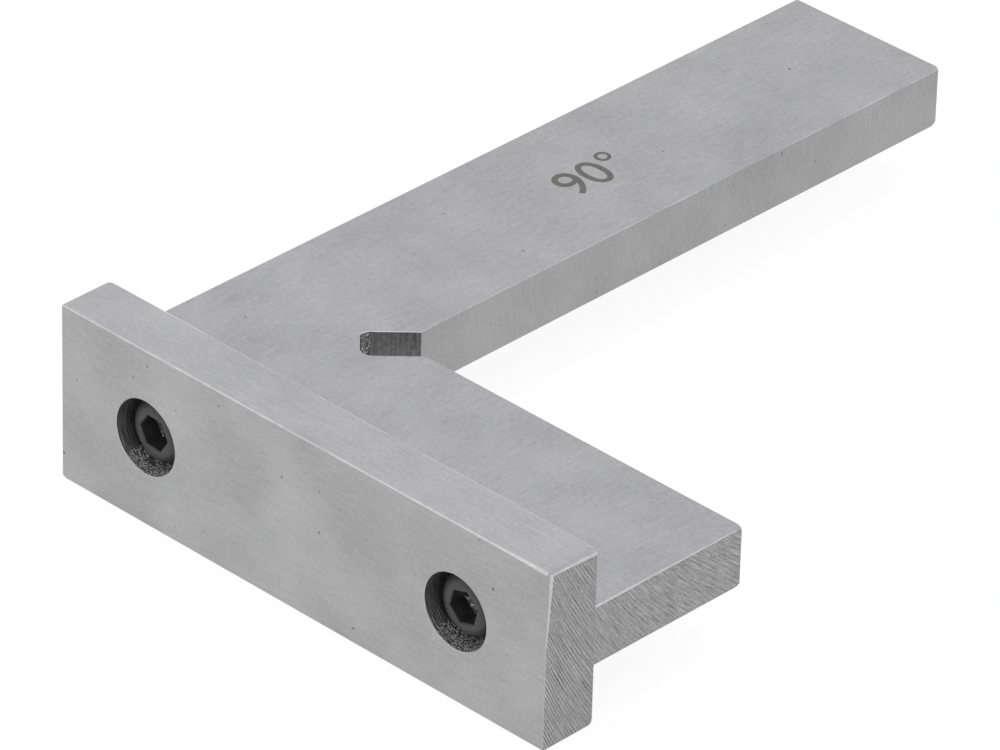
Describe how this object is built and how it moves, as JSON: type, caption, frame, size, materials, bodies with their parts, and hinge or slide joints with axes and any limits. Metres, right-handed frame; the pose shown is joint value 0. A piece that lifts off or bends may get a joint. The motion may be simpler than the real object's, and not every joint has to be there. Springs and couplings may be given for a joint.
{
  "type": "try square",
  "caption": "Small steel engineer's try square: a flat L-shaped blade with a relief slot at its inner corner, and a foot screwed across its short leg to set and check right angles.",
  "frame": {"origin": "middle of the base of the whole square, at the height of the foot's lower long edge", "axes": "+Z is the normal of the blade's upper face, +Y runs up the long leg from the foot to the tip, +X runs along the foot to the milled end of the short leg; the foot's screw face looks along -Y"},
  "size_m": [0.05, 0.08, 0.015],
  "materials": {
    "blade_steel": "surface ground steel, fine lines along the long leg",
    "foot_steel": "surface ground steel bar, fine matt grain",
    "screw_steel": "black oxide on steel, satin"
  },
  "bodies": {
    "root": {"blade": "blade_steel", "foot": "foot_steel", "foot_screw_left": "screw_steel", "foot_screw_right": "screw_steel"}
  },
  "joints": []
}
